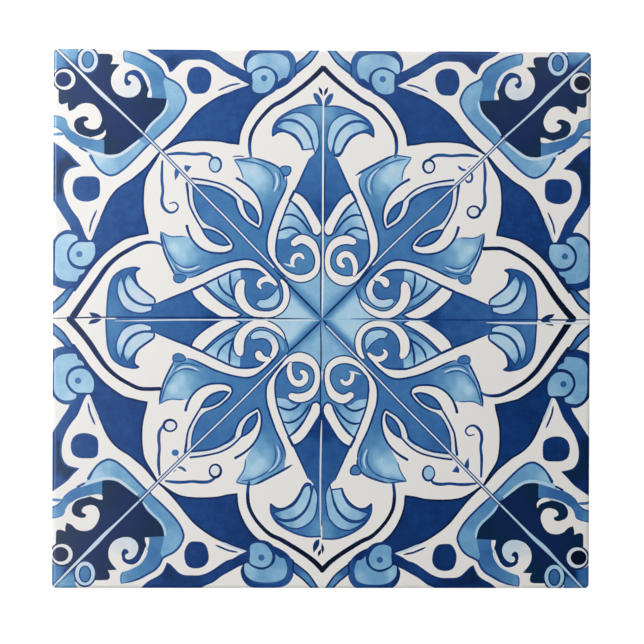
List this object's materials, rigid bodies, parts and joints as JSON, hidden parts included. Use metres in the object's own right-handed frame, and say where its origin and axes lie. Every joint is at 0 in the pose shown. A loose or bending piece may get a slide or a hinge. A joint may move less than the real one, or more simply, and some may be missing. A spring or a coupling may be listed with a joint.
{
  "type": "azulejo tile",
  "caption": "Square glazed earthenware wall tile with a softly rolled face edge, a traditional blue and white scroll pattern on its face and a keyed back for adhesive.",
  "frame": {"origin": "centre of the back of the tile, on the plane that it lies on", "axes": "+Z out of the glazed face, +Y towards the upper side of the tile as the picture shows it, +X towards its right side"},
  "size_m": [0.15, 0.15, 0.007],
  "materials": {
    "glazed_earthenware": "gloss"
  },
  "bodies": {
    "root": {"azulejo_tile": "glazed_earthenware"}
  },
  "joints": []
}
